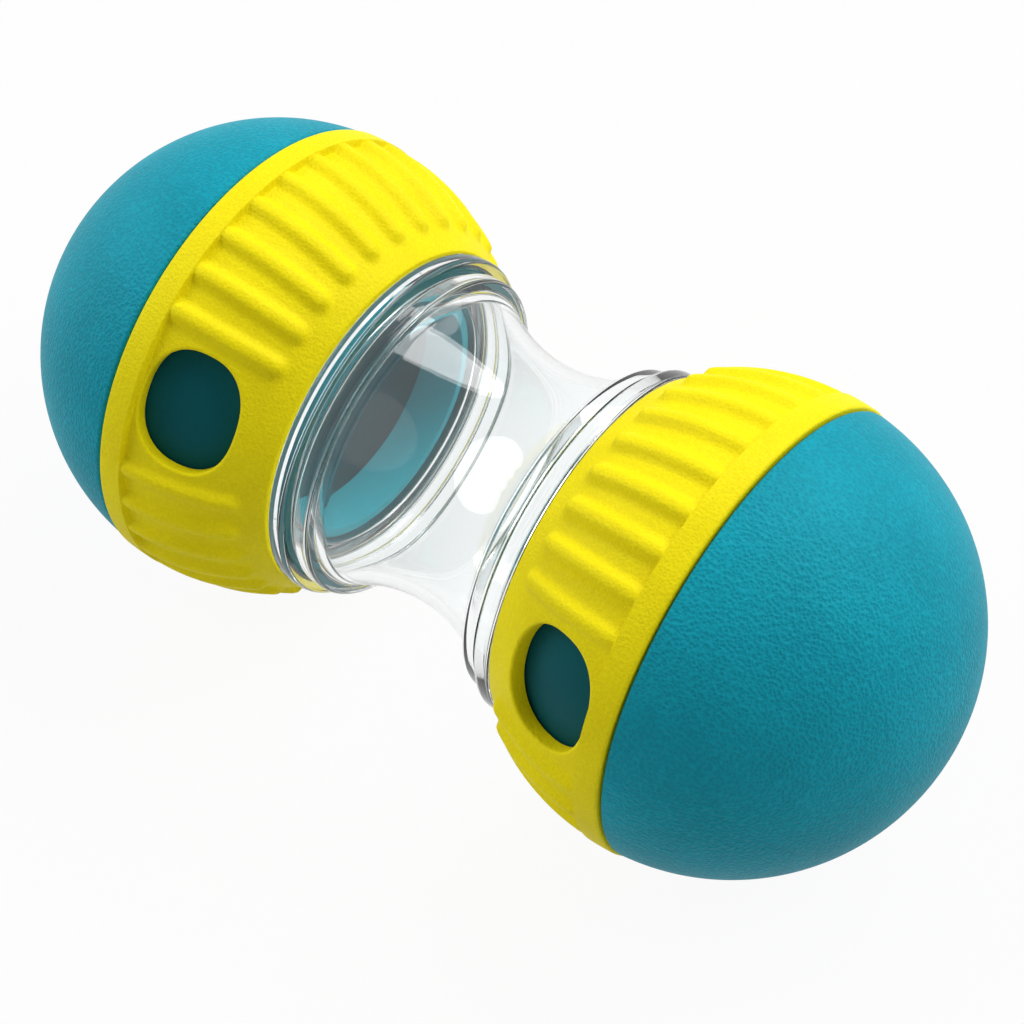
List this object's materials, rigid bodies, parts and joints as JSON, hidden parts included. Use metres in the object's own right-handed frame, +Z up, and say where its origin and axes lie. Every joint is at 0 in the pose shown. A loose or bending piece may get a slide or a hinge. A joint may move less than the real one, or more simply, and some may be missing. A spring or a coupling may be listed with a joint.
{
  "type": "treat dispenser toy",
  "caption": "Dumbbell-shaped pet treat dispenser: a clear hourglass chamber between round ends whose ribbed rings twist to open or shut a treat hole.",
  "frame": {"origin": "on the floor, midway between the ends, below the long axis", "axes": "+X along the toy towards its right end, +Z up, -Y towards the side that the treat holes face"},
  "size_m": [0.1714, 0.08, 0.08],
  "materials": {
    "clear_plastic": "polished, clear",
    "teal_rubber": "matte with a fine leather grain",
    "teal_plastic": "satin, paler than the domes",
    "dark_teal_plastic": "satin",
    "yellow_plastic": "fine matte grain",
    "silicone": "matte"
  },
  "bodies": {
    "chamber": {"chamber": "clear_plastic"},
    "right_seal": {"right_gasket": "silicone"},
    "right_end": {"right_sleeve": "dark_teal_plastic", "right_drag_ring": "silicone", "right_dome_liner": "teal_plastic", "right_dome_cover": "teal_rubber"},
    "right_ring": {"right_adjuster_ring": "yellow_plastic"},
    "left_seal": {"left_gasket": "silicone"},
    "left_end": {"left_sleeve": "dark_teal_plastic", "left_drag_ring": "silicone", "left_dome_liner": "teal_plastic", "left_dome_cover": "teal_rubber"},
    "left_ring": {"left_adjuster_ring": "yellow_plastic"}
  },
  "joints": [
    {"name": "right_end_draw", "type": "slide", "parent": "chamber", "child": "right_seal", "axis": [1, 0, 0], "range_m": [0, 0.0151]},
    {"name": "right_end_unscrew", "type": "hinge", "parent": "right_seal", "child": "right_end", "pos_m": [0.046, 0, 0.04], "axis": [1, 0, 0], "range_deg": [0, 300]},
    {"name": "right_ring_twist", "type": "hinge", "parent": "right_end", "child": "right_ring", "pos_m": [0.046, 0, 0.04], "axis": [1, 0, 0], "range_deg": [0, 40]},
    {"name": "left_end_draw", "type": "slide", "parent": "chamber", "child": "left_seal", "axis": [-1, 0, 0], "range_m": [0, 0.0151]},
    {"name": "left_end_unscrew", "type": "hinge", "parent": "left_seal", "child": "left_end", "pos_m": [-0.046, 0, 0.04], "axis": [-1, 0, 0], "range_deg": [0, 300]},
    {"name": "left_ring_twist", "type": "hinge", "parent": "left_end", "child": "left_ring", "pos_m": [-0.046, 0, 0.04], "axis": [-1, 0, 0], "range_deg": [0, 40]}
  ],
  "couplings": [
    {"joint": "right_end_draw", "follows": "right_end_unscrew", "m_per_rad": 0.0028648},
    {"joint": "left_end_draw", "follows": "left_end_unscrew", "m_per_rad": 0.0028648}
  ]
}
